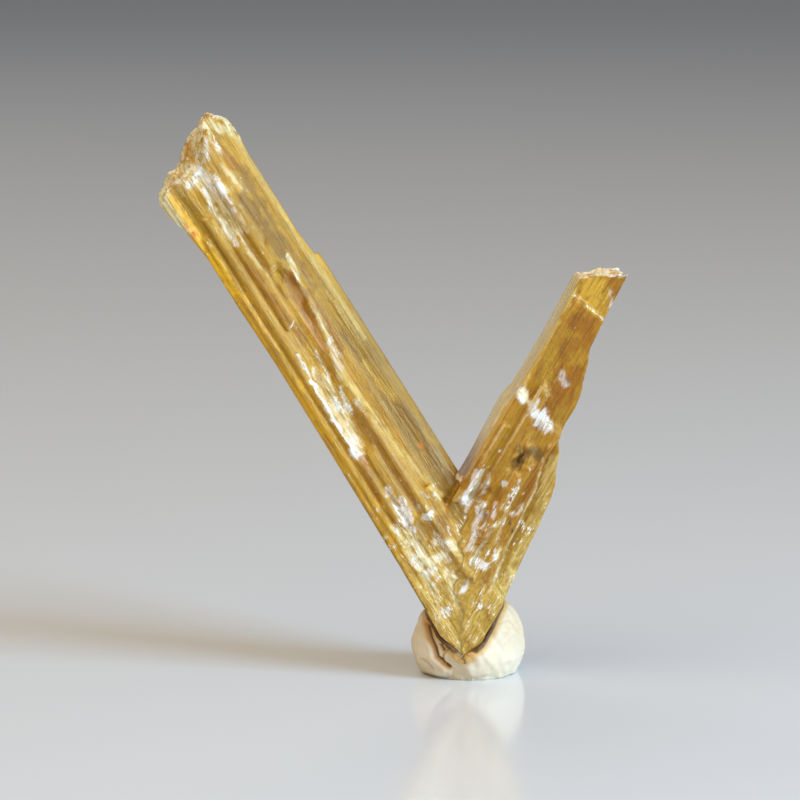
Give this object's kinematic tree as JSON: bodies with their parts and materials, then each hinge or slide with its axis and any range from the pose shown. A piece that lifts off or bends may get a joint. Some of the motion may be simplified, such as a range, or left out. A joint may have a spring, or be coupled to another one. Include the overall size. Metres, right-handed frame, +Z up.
{
  "type": "cerussite twin crystal on display putty",
  "caption": "V-shaped twin of long, striated, honey-coloured cerussite crystals, standing on its point in a small ball of cream display putty.",
  "frame": {"origin": "middle of the putty's flat underside, where the part rests", "axes": "+Z up, +X to the viewer's right across the V, +Y to the back, away from the viewer"},
  "size_m": [0.0367, 0.01, 0.045],
  "materials": {
    "cerussite": "translucent honey-yellow to brown, adamantine, striated, with white broken patches",
    "putty": "matte, kneaded, with soft folds"
  },
  "bodies": {
    "root": {"cerussite_twin": "cerussite", "putty_ball": "putty"}
  },
  "joints": []
}
